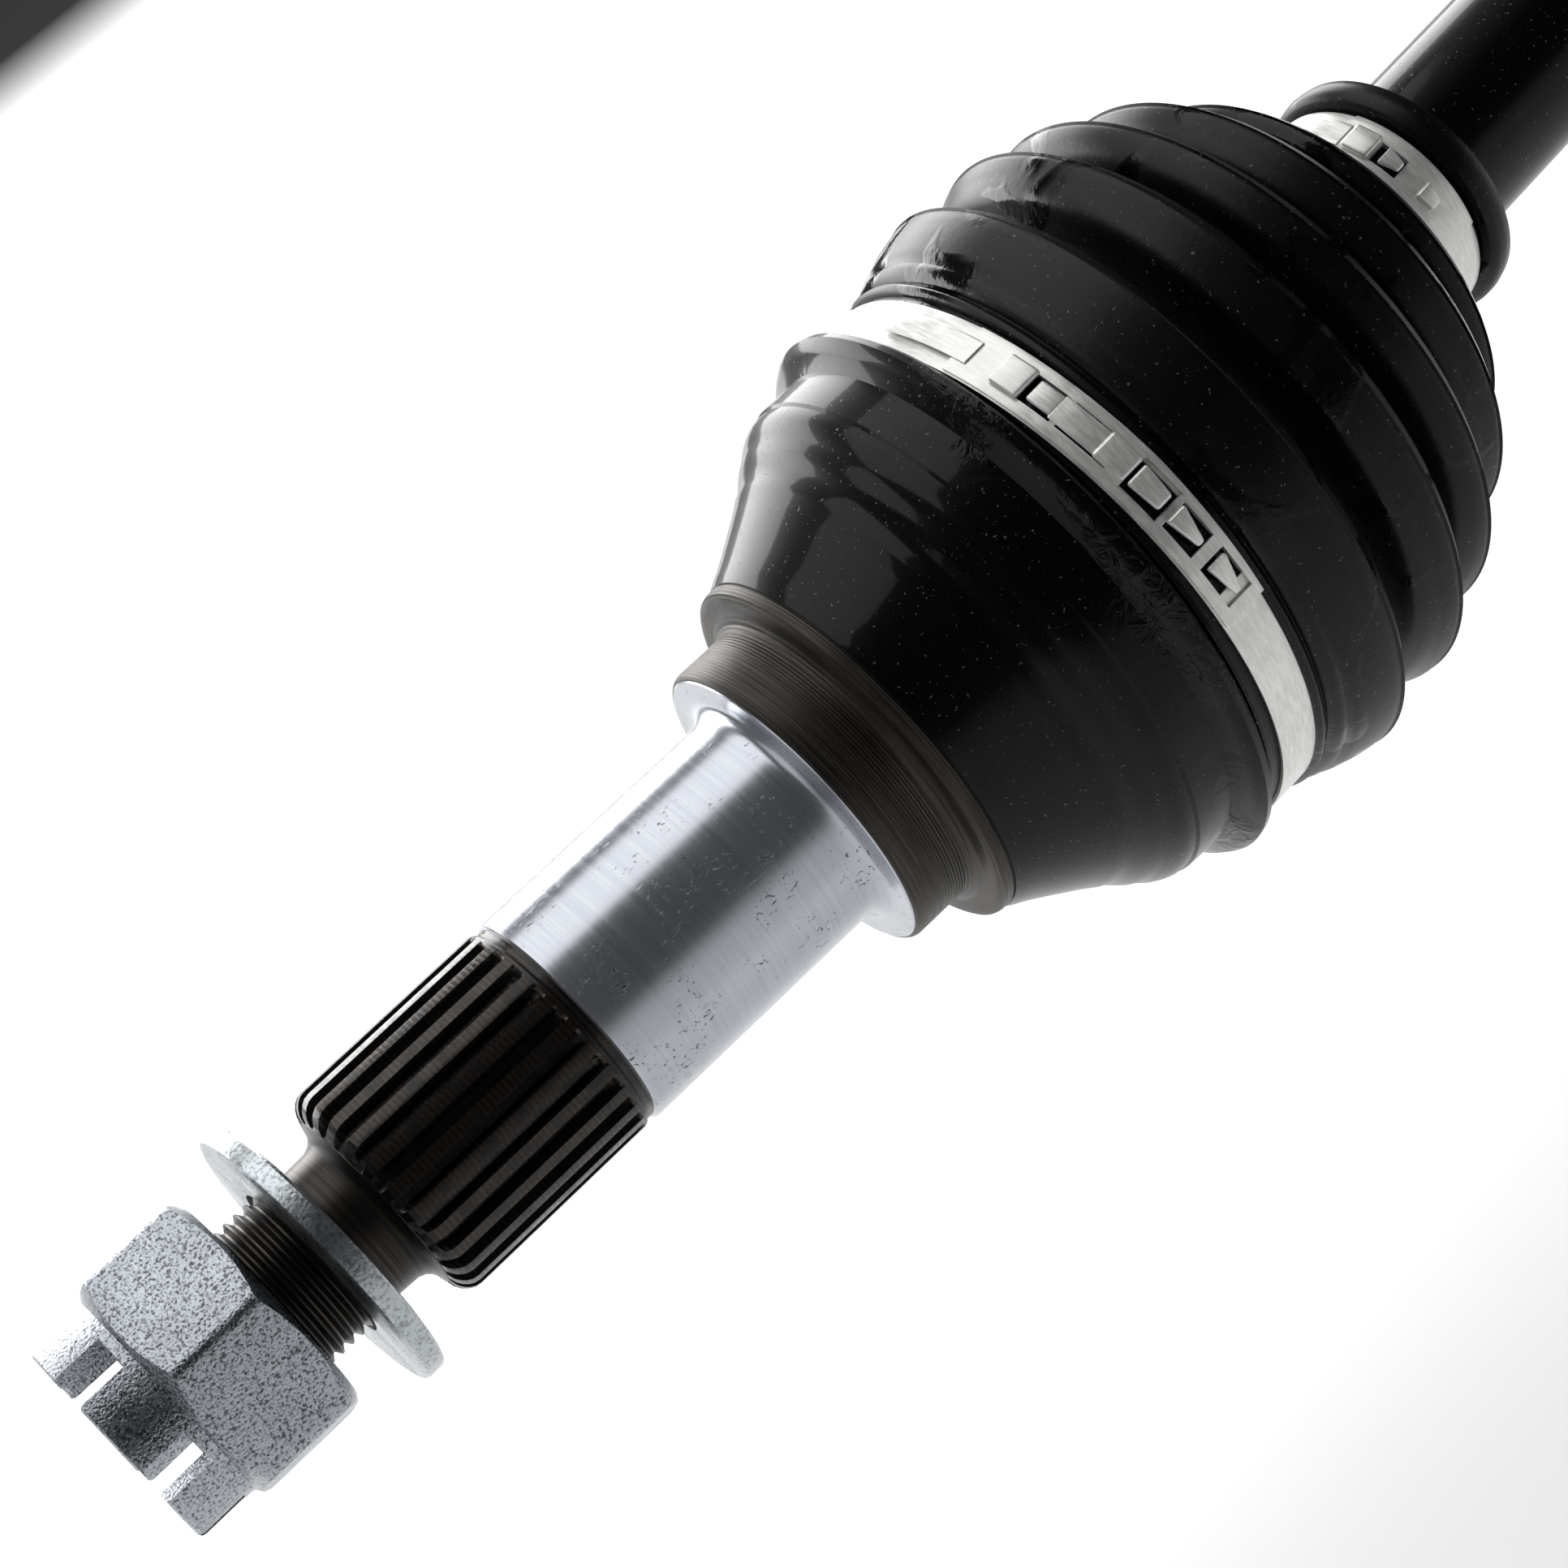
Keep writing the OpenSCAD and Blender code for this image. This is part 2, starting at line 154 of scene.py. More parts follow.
def finish_piece(name, bm, material, body, matrix=None, angle=CREASE, replaces=(), recalc=True):
    """Turns a bmesh in millimetres into a named piece that rides on a body."""
    bmesh.ops.remove_doubles(bm, verts=bm.verts[:], dist=MERGE)
    if recalc:
        bmesh.ops.recalc_face_normals(bm, faces=bm.faces[:])
    if matrix is not None:
        bmesh.ops.transform(bm, matrix=matrix, verts=bm.verts[:])
    bmesh.ops.scale(bm, vec=(MM, MM, MM), verts=bm.verts[:])
    for face in bm.faces:
        face.smooth = True
    crease(bm, angle)
    mesh = bpy.data.meshes.new(name)
    bm.to_mesh(mesh)
    bm.free()
    piece = bpy.data.objects.new(name, mesh)
    bpy.context.scene.collection.objects.link(piece)
    mesh.materials.append(material)
    if body:
        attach(piece, body)
    if replaces:
        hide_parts(*replaces)
    return piece


def cut(piece, cutter_bm):
    """Cuts a cutter, given in millimetres, out of a piece and bakes the result."""
    bmesh.ops.scale(cutter_bm, vec=(MM, MM, MM), verts=cutter_bm.verts[:])
    mesh = bpy.data.meshes.new("cutter")
    cutter_bm.to_mesh(mesh)
    cutter_bm.free()
    cutter = bpy.data.objects.new("cutter", mesh)
    bpy.context.scene.collection.objects.link(cutter)
    change = piece.modifiers.new("cut", "BOOLEAN")
    change.operation, change.object, change.solver = "DIFFERENCE", cutter, "EXACT"
    bpy.context.view_layer.update()
    baked = bpy.data.meshes.new_from_object(piece.evaluated_get(bpy.context.evaluated_depsgraph_get()))
    piece.modifiers.clear()
    old, piece.data = piece.data, baked
    baked.name = old.name + "_cut"
    bpy.data.meshes.remove(old)
    bpy.data.objects.remove(cutter)
    bpy.data.meshes.remove(mesh)
    bm = bmesh.new()
    bm.from_mesh(piece.data)
    crease(bm, CREASE)
    bm.to_mesh(piece.data)
    bm.free()


# ---------------------------------------------------------------- shader helpers

def add(tree, kind, sockets=None, **settings):
    """Adds a node with its settings; a socket takes a value or another node's output."""
    made = tree.nodes.new("ShaderNode" + kind)
    for key, value in settings.items():
        setattr(made, key, value)
    for key, value in (sockets or {}).items():
        if isinstance(value, bpy.types.NodeSocket):
            tree.links.new(value, made.inputs[key])
        else:
            made.inputs[key].default_value = value
    return made


def start_material(name, colour, metallic, roughness, **sockets):
    """A material with a shader whose constants are set on its own sockets."""
    material = bpy.data.materials.new(name)
    material.use_nodes = True
    tree = material.node_tree
    tree.nodes.clear()
    shader = add(tree, "BsdfPrincipled", {"Base Color": linear(colour), "Metallic": metallic,
                                          "Roughness": roughness})
    for key, value in sockets.items():
        shader.inputs[key.replace("_", " ")].default_value = value
    output = add(tree, "OutputMaterial")
    tree.links.new(shader.outputs["BSDF"], output.inputs["Surface"])
    place = add(tree, "TexCoord").outputs["Object"]
    return material, tree, shader, place


def stretched(tree, place, scale, turn=0.0):
    """Object coordinates, scaled and then turned back about Z by the bar's angle.

    The turn is exact only where the scale is even. With an uneven scale, the pattern of a part on the bar
    stays nearly square to the stub instead.
    """
    return add(tree, "Mapping", {"Vector": place, "Rotation": (0, 0, -turn), "Scale": scale},
               vector_type="POINT").outputs["Vector"]


def noise(tree, vector, grain_mm, detail=4.0, rough=0.55, lift=0.0):
    """Noise whose blotches are about grain_mm across."""
    return add(tree, "TexNoise", {"Vector": vector, "Scale": 1000.0 / grain_mm, "Detail": detail,
                                  "Roughness": rough, "Distortion": lift}).outputs["Fac"]


def ramp(tree, value, low, high, to_low=0.0, to_high=1.0):
    """Maps a value's range, clamped."""
    return add(tree, "MapRange", {"Value": value, "From Min": low, "From Max": high,
                                  "To Min": to_low, "To Max": to_high}).outputs["Result"]


def blend_colour(tree, factor, a, b):
    """Mixes two colours, each a hex string or an output."""
    made = add(tree, "Mix", data_type="RGBA")
    tree.links.new(factor, made.inputs[0])
    for slot, colour in ((6, a), (7, b)):
        if isinstance(colour, str):
            made.inputs[slot].default_value = linear(colour)
        else:
            tree.links.new(colour, made.inputs[slot])
    return made.outputs[2]


def maths(tree, operation, a, b=0.0):
    """One sum on values or outputs."""
    return add(tree, "Math", {0: a, 1: b}, operation=operation).outputs[0]


def bump(tree, height, depth_mm, normal=None):
    """Bump whose full height is depth_mm."""
    sockets = {"Height": height, "Distance": depth_mm * MM, "Strength": 1.0}
    if normal is not None:
        sockets["Normal"] = normal
    return add(tree, "Bump", sockets).outputs["Normal"]


def along(tree, place, turn=0.0):
    """Distance along the stub's or the bar's axis, in metres."""
    return add(tree, "SeparateXYZ", {"Vector": stretched(tree, place, (1, 1, 1), turn)}).outputs["X"]


def lathe_lines(tree, place, pitch_mm, turn=0.0):
    """Fine rings: noise drawn out across X, so that it varies almost only with the distance along X."""
    vector = stretched(tree, place, (1.0, 0.012, 0.012), turn)
    return noise(tree, vector, pitch_mm, detail=6.0, rough=0.7)


# ---------------------------------------------------------------- finishes

def gloss_black_paint(name, drips=False):
    """Sprayed black enamel on a forging: deep black, wet clear coat, slight orange peel, dust nibs."""
    material, tree, shader, place = start_material(
        name, "#030304", 0.0, 0.32, Coat_Weight=0.32, Coat_Roughness=0.07, Coat_IOR=1.34,
        Specular_IOR_Level=0.08)
    peel = noise(tree, place, 3.5, detail=2.0)
    nibs = ramp(tree, noise(tree, place, 0.5, detail=1.0), 0.715, 0.76)
    normal = bump(tree, peel, 0.008)
    normal = bump(tree, nibs, 0.05, normal)
    if drips:  # paint that ran and wrinkled where it pooled at the rim
        x = along(tree, place)
        pooled = ramp(tree, x, -0.0500, -0.0535)
        runs = noise(tree, place, 4.0, detail=3.0, rough=0.6, lift=1.4)
        patch = ramp(tree, noise(tree, place, 22.0, detail=1.0), 0.5, 0.62)
        wrinkle = maths(tree, "MULTIPLY", maths(tree, "MULTIPLY", runs, pooled), patch)
        normal = bump(tree, wrinkle, 0.45, normal)
    tree.links.new(normal, shader.inputs["Normal"])
    tree.links.new(normal, shader.inputs["Coat Normal"])
    tree.links.new(blend_colour(tree, nibs, "#030304", "#565658"), shader.inputs["Base Color"])
    return material


def turned_dark_steel():
    """Rough-turned forging steel browned by heat treatment: visible tool rings."""
    material, tree, shader, place = start_material("turned_browned_steel", "#3a3632", 0.85, 0.42)
    feed = maths(tree, "SINE", maths(tree, "MULTIPLY", along(tree, place), 2 * math.pi / (0.42 * MM)))
    rings = lathe_lines(tree, place, 0.3)
    stain = noise(tree, stretched(tree, place, (1, 0.3, 0.3)), 5.0, detail=3.0)
    lines = ramp(tree, rings, 0.35, 0.65)
    colour = blend_colour(tree, lines, "#1e1c1a", "#514d48")
    colour = blend_colour(tree, ramp(tree, stain, 0.4, 0.7), colour, "#2b2825")
    tree.links.new(colour, shader.inputs["Base Color"])
    tree.links.new(ramp(tree, rings, 0.3, 0.7, 0.34, 0.55), shader.inputs["Roughness"])
    tree.links.new(bump(tree, rings, 0.06, bump(tree, feed, 0.03)), shader.inputs["Normal"])
    return material


def ground_journal():
    """Centreless-ground, induction-hardened steel: bright, with faint rings, pits and light scratches.

    It is a little less metallic than bare steel, which lightens the dark band along its middle.
    """
    material, tree, shader, place = start_material("ground_bearing_steel", "#b4b8bd", 0.82, 0.3)
    rings = lathe_lines(tree, place, 0.5)
    marks = noise(tree, stretched(tree, place, (1, 1.6, 1.6)), 1.3, detail=1.5, lift=2.2)
    pits = maths(tree, "MULTIPLY", ramp(tree, marks, 0.655, 0.68),
                 ramp(tree, noise(tree, place, 6.0, detail=1.0), 0.48, 0.56))
    scratches = noise(tree, stretched(tree, place, (0.12, 1, 1)), 0.8, detail=3.0, rough=0.7)
    fine = ramp(tree, scratches, 0.68, 0.74, 0.0, 0.25)
    worn = maths(tree, "MAXIMUM", pits, fine)
    colour = blend_colour(tree, ramp(tree, rings, 0.3, 0.7), "#a9acb3", "#babdc3")
    tree.links.new(blend_colour(tree, pits, colour, "#5d5f63"), shader.inputs["Base Color"])
    tree.links.new(ramp(tree, rings, 0.25, 0.75, 0.2, 0.27), shader.inputs["Roughness"])
    normal = bump(tree, rings, 0.003)
    tree.links.new(bump(tree, worn, -0.03, normal), shader.inputs["Normal"])
    return material


def phosphated_spline():
    """Manganese-phosphated, oiled steel: near-black brown, with hob marks drawn coarse enough to show."""
    material, tree, shader, place = start_material(
        "phosphated_oiled_steel", "#2b2825", 0.7, 0.3, Coat_Weight=0.3, Coat_Roughness=0.12)
    x = along(tree, place)
    hob = maths(tree, "SINE", maths(tree, "MULTIPLY", x, 2 * math.pi / (0.75 * MM)))
    stain = noise(tree, place, 2.5, detail=4.0)
    colour = blend_colour(tree, ramp(tree, hob, -1, 1), "#1a1613", "#302a24")
    colour = blend_colour(tree, ramp(tree, stain, 0.45, 0.68), colour, "#100e0b")
    tree.links.new(colour, shader.inputs["Base Color"])
    tree.links.new(ramp(tree, stain, 0.3, 0.7, 0.24, 0.48), shader.inputs["Roughness"])
    normal = bump(tree, hob, 0.03)
    tree.links.new(bump(tree, noise(tree, place, 0.4, detail=3.0), 0.04, normal), shader.inputs["Normal"])
    return material


def rolled_thread():
    """Rolled thread and plain neck in dark oiled steel, lighter on the crests."""
    material, tree, shader, place = start_material("rolled_dark_thread", "#2f2d2b", 0.85, 0.34)
    rings = lathe_lines(tree, place, 0.4)
    tree.links.new(blend_colour(tree, ramp(tree, rings, 0.35, 0.68), "#1a1817", "#45413d"),
                   shader.inputs["Base Color"])
    tree.links.new(bump(tree, rings, 0.05), shader.inputs["Normal"])
    return material


def zinc_plate(name="zinc_plated_forging", grain=0.38, depth=0.15, dark="#505357", light="#a6aab0"):
    """Bright zinc over a scale-pitted forging: fine sparkling pits with grey bottoms."""
    material, tree, shader, place = start_material(name, light, 1.0, 0.3)
    pits = noise(tree, place, grain, detail=2.0, rough=0.55)
    cloud = noise(tree, place, 6.0, detail=2.0)
    spots = ramp(tree, pits, 0.35, 0.52)
    colour = blend_colour(tree, spots, dark, light)
    tree.links.new(colour, shader.inputs["Base Color"])
    tree.links.new(ramp(tree, cloud, 0.35, 0.65, 0.24, 0.38), shader.inputs["Roughness"])
    tree.links.new(bump(tree, pits, depth), shader.inputs["Normal"])
    return material


def clamp_steel():
    """Cold-rolled stainless strip: bright, with faint rolling lines and slightly burred edges."""
    material, tree, shader, place = start_material("stainless_strip", "#e8e8e5", 0.5, 0.36)
    grain = noise(tree, stretched(tree, place, (1.0, 0.15, 0.15)), 0.35, detail=3.0)
    wave = noise(tree, place, 5.0, detail=1.0)
    tree.links.new(blend_colour(tree, ramp(tree, grain, 0.35, 0.7), "#dcdcd9", "#f6f6f3"),
                   shader.inputs["Base Color"])
    tree.links.new(ramp(tree, grain, 0.3, 0.7, 0.3, 0.44), shader.inputs["Roughness"])
    normal = bump(tree, wave, 0.3)
    tree.links.new(bump(tree, grain, 0.008, normal), shader.inputs["Normal"])
    return material


def boot_rubber():
    """Blow-moulded black elastomer: satin, with wet patches of grease, dust specks and a faint bloom."""
    material, tree, shader, place = start_material(
        "moulded_black_elastomer", "#070708", 0.0, 0.34, Specular_IOR_Level=0.2)
    tone = noise(tree, place, 8.0, detail=3.0)
    dust = ramp(tree, noise(tree, place, 0.55, detail=1.0), 0.715, 0.755)
    colour = blend_colour(tree, ramp(tree, tone, 0.35, 0.7), "#040405", "#0a0a0b")
    tree.links.new(blend_colour(tree, dust, colour, "#5c5c5d"), shader.inputs["Base Color"])
    normal = bump(tree, noise(tree, place, 0.9, detail=3.0), 0.025)
    film = ramp(tree, noise(tree, place, 16.0, detail=2.5, lift=0.8), 0.56, 0.6)
    smear = noise(tree, place, 2.6, detail=3.0, lift=1.0)
    normal = bump(tree, maths(tree, "MULTIPLY", film, smear), 0.07, normal)
    tree.links.new(ramp(tree, film, 0.0, 1.0, 0.36, 0.12), shader.inputs["Roughness"])
    tree.links.new(normal, shader.inputs["Normal"])
    return material


def hardened(name="case_hardened_steel", colour="#8d8a85", rough=0.3, blotch="#6f6b64", turn=0.0):
    """Case-hardened and tumbled steel: grey satin with straw-brown temper clouds."""
    material, tree, shader, place = start_material(name, colour, 1.0, rough)
    cloud = noise(tree, place, 4.0, detail=4.0)
    tree.links.new(blend_colour(tree, ramp(tree, cloud, 0.35, 0.68), colour, blotch),
                   shader.inputs["Base Color"])
    tree.links.new(ramp(tree, cloud, 0.3, 0.7, rough - 0.07, rough + 0.1), shader.inputs["Roughness"])
    tree.links.new(bump(tree, lathe_lines(tree, place, 0.4, turn), 0.02), shader.inputs["Normal"])
    return material


def housing_finish():
    """Inner housing: black enamel on the cup, bright ground seal journal, dark oiled spline."""
    material, tree, shader, place = start_material("enamelled_cup_with_bare_stub", "#08080a", 0.0, 0.25)
    x = along(tree, place, REST_BEND)
    origin = JOINT_X * MM * math.cos(REST_BEND) - CENTRES * MM     # inner joint along the turned axis
    bare = ramp(tree, x, origin - 0.0448, origin - 0.0452)
    spline = ramp(tree, x, origin - 0.0600, origin - 0.0604)
    rings = lathe_lines(tree, place, 0.4, REST_BEND)
    metal = blend_colour(tree, spline, "#b4b8bd", "#3a3733")
    tree.links.new(blend_colour(tree, bare, "#08080a", metal), shader.inputs["Base Color"])
    tree.links.new(bare, shader.inputs["Metallic"])
    tree.links.new(ramp(tree, rings, 0.3, 0.7, 0.2, 0.34), shader.inputs["Roughness"])
    normal = bump(tree, maths(tree, "MULTIPLY", rings, bare), 0.03)
    tree.links.new(bump(tree, noise(tree, place, 3.5, detail=2.0), 0.05, normal), shader.inputs["Normal"])
    return material


FINISHES = {}


def finish(key, make, **settings):
    """Each finish is made once and shared."""
    if key not in FINISHES:
        FINISHES[key] = make(**settings)
    return FINISHES[key]


# ---------------------------------------------------------------- settings

class StubSettings(bpy.types.PropertyGroup):
    journal_radius: bpy.props.FloatProperty(
        name="Journal radius", description="Radius of the ground bearing journal, in mm", default=JOURNAL_R)
    spline_teeth: bpy.props.IntProperty(
        name="Spline teeth", description="Teeth around the hub spline", default=26)
    collar_radius: bpy.props.FloatProperty(
        name="Collar radius", description="Radius of the turned collar, in mm", default=20.7)


class HardwareSettings(bpy.types.PropertyGroup):
    across_flats: bpy.props.FloatProperty(
        name="Across flats", description="Size of the castle nut's hexagon, in mm", default=30.0)
    nut_turn: bpy.props.FloatProperty(
        name="Nut turn", description="Turn of the nut about the stub", default=math.radians(57.0),
        subtype="ANGLE", unit="ROTATION")
    washer_lean: bpy.props.FloatProperty(
        name="Washer lean", description="Tilt of the loose washer on its thread", default=math.radians(2.4),
        subtype="ANGLE", unit="ROTATION")


class BootSettings(bpy.types.PropertyGroup):
    wall: bpy.props.FloatProperty(name="Wall", description="Thickness of the boots, in mm", default=2.4)
    band_radius: bpy.props.FloatProperty(
        name="Clamp radius", description="Inner radius of the outer boot's large clamp, in mm",
        default=38.45)
    steps: bpy.props.IntProperty(
        name="Steps", description="Divisions of each boot around its axis", default=176)


class StageSettings(bpy.types.PropertyGroup):
    floor_z: bpy.props.FloatProperty(
        name="Floor height", description="Height of the floor under the axle", default=-0.15,
        subtype="DISTANCE", unit="LENGTH")
    lens: bpy.props.FloatProperty(name="Lens", description="Focal length, in mm", default=83.85)
    azimuth: bpy.props.FloatProperty(
        name="Azimuth", description="Direction the camera looks from", default=math.radians(164.92),
        subtype="ANGLE", unit="ROTATION")
    elevation: bpy.props.FloatProperty(
        name="Elevation", description="Height of the camera above the axle", default=math.radians(21.66),
        subtype="ANGLE", unit="ROTATION")
    roll: bpy.props.FloatProperty(
        name="Roll", description="Roll of the camera", default=math.radians(-37.45),
        subtype="ANGLE", unit="ROTATION")
    distance: bpy.props.FloatProperty(
        name="Distance", description="From the camera to what it looks at", default=0.42433,
        subtype="DISTANCE", unit="LENGTH")


# ---------------------------------------------------------------- operators

class CVAXLE_OT_bell(bpy.types.Operator):
    """Painted bell of the outer joint, with the turned collar and the bare lip at its base"""
    bl_idname = "cvaxle.bell"
    bl_label = "Bell and collar"

    def execute(self, context):
        outside = smooth_profile([
            (-28.3, 21.0, 1), (-28.3, 25.0, 1), (-29.6, 25.0, 1), (-29.65, 25.55, 1), (-30.6, 26.15),
            (-33.0, 27.4),
            (-38.6, 30.8), (-40.2, 31.9), (-41.0, 32.15, 1), (-42.0, 33.1), (-43.4, 34.4), (-44.3, 34.85, 1),
            (-45.6, 36.0), (-47.0, 36.7), (-48.0, 36.75, 1), (-48.4, 37.05, 1), (-51.0, 37.15),
            (-53.6, 37.2, 1), (-54.4, 38.2), (-55.3, 39.8), (-56.2, 40.45), (-57.1, 40.3), (-57.7, 39.6),
            (-57.85, 38.6, 1), (-57.85, 35.2, 1), (-66.2, 35.2, 1), (-66.5, 35.9, 1),
            (BELL_END + 0.4, 35.9, 1),
            (BELL_END, 35.4, 1)], step=0.7)
        cavity = [(BELL_END, 33.4), (-62.5, 31.0), (-58, 29.6), (-55, 28.4)] + [
            (JOINT_X + 27.9 * math.sin(a), 27.9 * math.cos(a))
            for a in (math.radians(d) for d in range(-15, 37, 4))] + [(-30.2, 20.0), (-30.0, 12.0)]
        bm = turned(outside + cavity + [(-30.0, 0.0), (-28.3, 0.0)], steps=200, closed=True)
        paint = finish("bell", gloss_black_paint, drips=True, name="gloss_black_enamel_bell")
        finish_piece("painted_bell", bm, paint, "wheel_stub", replaces=("outer_race",))

        s = context.scene.cv_stub
        r = s.collar_radius
        collar = [(-29.7, 0), (-29.7, 25.3), (-29.4, 25.42), (-28.5, 25.42), (-28.0, 25.25), (-27.7, 24.8),
                  (-27.6, 24.0), (-27.55, 23.0), (-27.4, 22.2), (-27.1, 21.5), (-26.7, 21.05),
                  (-26.1, r + 0.06),
                  (-25.5, r), (-19.3, r),
                  (-18.9, r - 0.12), (-18.55, r - 0.4), (-18.45, r - 0.7), (-18.6, r - 1.2), (-18.7, 17.2),
                  (-18.7, 0)]
        bm = turned(collar, steps=180)
        finish_piece("turned_collar", bm, finish("turned", turned_dark_steel), "wheel_stub")
        return {"FINISHED"}


class CVAXLE_OT_stub(bpy.types.Operator):
    """Ground journal, hub spline, neck and threaded end"""
    bl_idname = "cvaxle.stub"
    bl_label = "Journal, spline and thread"

    def execute(self, context):
        s = context.scene.cv_stub
        r = s.journal_radius
        journal = [(-18.9, 0), (-18.9, 19.9), (-18.5, 20.1), (-18.32, 19.9), (-18.3, 17.6), (-18.22, 16.8),
                   (-17.9, 16.1), (-17.3, 15.5), (-16.6, 15.12), (-15.8, r), (17.6, r), (18.1, r - 0.1),
                   (18.3, r - 0.35),
                   (18.4, r - 0.9), (18.4, 0)]
        finish_piece("ground_journal", turned(journal, steps=180), finish("journal", ground_journal),
                     "wheel_stub")

        teeth, top, depth = s.spline_teeth, 14.88, 1.55

        def toothed(share, crest=top):
            """Cross-section of the spline: flat-topped teeth with sloping flanks."""
            def radius(angle):
                phase = (angle * teeth / (2 * math.pi)) % 1.0
                edge = abs(phase - 0.5) * 2               # 0 mid-tooth, 1 mid-groove
                fall = min(1.0, max(0.0, (edge - 0.42) / 0.26))
                return min(top, crest) - depth * share * (fall * fall * (3 - 2 * fall))
            return radius

        segments = teeth * 14
        stations = [(17.9, 14.3), (18.4, 14.4), (19.3, 14.4), (19.7, 14.8), (20.1, toothed(0.0)),
                    (20.5, toothed(0.3)), (21.2, toothed(0.75)), (22.2, toothed(0.96)), (23.2, toothed(1.0)),
                    (35.0, toothed(1.0)), (45.8, toothed(1.0)), (46.5, toothed(1.0, 14.75)),
                    (47.1, toothed(0.95, 14.4)), (47.6, toothed(0.85, 13.9)), (48.0, toothed(0.6, 13.2)),
                    (48.2, toothed(0.2, 12.4)), (48.25, 11.0)]
        bm = loft(stations, segments)
        finish_piece("hub_spline", bm, finish("spline", phosphated_spline), "wheel_stub",
                     angle=28.0)

        thread = [(47.8, 0), (47.8, 12.2), (48.3, 12.1), (48.5, 11.2), (48.9, 10.4), (49.5, 9.85),
                  (50.4, 9.5), (53.6, 9.38), (55.0, 9.25)]
        x = 55.4
        while x < 75.0:
            thread += [(x, 9.12), (x + 0.12, 9.12), (x + 0.62, 9.86), (x + 0.88, 9.9), (x + 1.38, 9.14)]
            x += THREAD_PITCH
        thread += [(75.4, 9.3), (76.2, 8.9), (76.5, 8.4), (76.5, 2.6), (75.4, 1.6), (75.4, 0)]
        stub = finish_piece("threaded_end", turned(thread, steps=120), finish("thread", rolled_thread),
                            "wheel_stub", angle=40.0)
        hole = bmesh.new()
        bmesh.ops.create_cone(hole, cap_ends=True, segments=32, radius1=2, radius2=2, depth=40,
                              matrix=Matrix.Translation((PIN_HOLE_X, 0, 0)))
        cut(stub, hole)
        return {"FINISHED"}


class CVAXLE_OT_nut(bpy.types.Operator):
    """Castle nut with curved chamfers, hollow crown and six slots, and the loose washer"""
    bl_idname = "cvaxle.nut"
    bl_label = "Castle nut and washer"

    def execute(self, context):
        s = context.scene.cv_hardware
        half, turn = s.across_flats / 2, s.nut_turn
        x0, hex_h, height, crown = NUT_FACE_X, 15.2, 23.0, 14.0
        slope = math.tan(math.radians(28))

        def flat(angle):
            """Radius of the hexagon, with its corners very slightly rounded."""
            a = (angle - turn) % (math.pi / 3)
            a = min(a, math.pi / 3 - a)
            return min(half / math.cos(a), half * 1.138)

        bm = bmesh.new()
        n = 216
        plan = [(0.3, 10.0), (0.0, 10.6), (0.0, half - 0.9)]
        rings = [ring(bm, x0 + x, r, n) for x, r in plan]
        for near, side in ((0.0, 1), (0.35, 1), (hex_h - 0.35, -1), (hex_h, -1)):
            edge = ring(bm, x0, flat, n)
            for v in {v for e in edge for v in e.verts}:
                over = max(0.0, v.co.yz.length - (half - 0.9)) * slope
                soften = 0.12 if near in (0.0, hex_h) else 0.0
                v.co.x = x0 + (near + over * side)
                v.co.yz = v.co.yz * (1 - soften / v.co.yz.length)
            rings.append(edge)
        rings += [ring(bm, x0 + x, r, n) for x, r in (
            (hex_h, half - 0.9), (hex_h - 0.1, crown + 0.15), (hex_h + 0.35, crown), (height - 0.7, crown),
            (height - 0.25, crown - 0.15), (height, crown - 0.6), (height, 11.9), (height - 0.5, 11.35),
            (hex_h + 1.2, 11.2), (hex_h - 0.2, 10.7), (hex_h - 0.8, 10.0))]
        for a, b in zip(rings, rings[1:] + rings[:1]):
            bmesh.ops.bridge_loops(bm, edges=a + b)
        nut = finish_piece("castle_nut_forged", bm, finish("zinc", zinc_plate), "nut",
                           replaces=("castle_nut",), angle=24.0)
        slots = bmesh.new()
        for i in range(6):
            face = (Matrix.Rotation(turn + i * math.pi / 3, 4, "X")
                    @ Matrix.Translation((x0 + hex_h + 1.3 + 5, 12.5, 0)))
            bmesh.ops.create_cube(slots, size=1.0, matrix=face @ Matrix.Diagonal((10.0, 9.0, 5.0, 1)))
        cut(nut, slots)

        washer = [(0.0, 10.5), (0.0, 17.9), (0.12, 18.25), (0.45, 18.5), (2.3, 18.5), (2.7, 18.3),
                  (2.9, 17.8), (WASHER_THICK, 17.2), (WASHER_THICK, 10.5)]
        bm = turned(washer, steps=144)
        lean = (Matrix.Translation((WASHER_X, 0, 0)) @ Matrix.Rotation(s.washer_lean, 4, "Z")
                @ Matrix.Translation((-WASHER_THICK / 2, 0, 0)))
        finish_piece("flat_washer", bm, finish("washer", zinc_plate, name="zinc_plated_washer", grain=0.5,
                                               depth=0.05, dark="#868b8e", light="#b4b9bc"),
                     "washer", matrix=lean, replaces=("washer",))
        return {"FINISHED"}


BOOT_WAVES = [  # crest position, crest radius, valley position behind it, valley radius
    (-77.4, 42.4, -82.6, 35.2), (-89.0, 41.5, -93.2, 33.6), (-98.4, 38.9, -102.4, 30.2),
    (-108.2, 34.4, -111.8, 25.0), (-116.0, 28.4, -120.4, 19.0)]


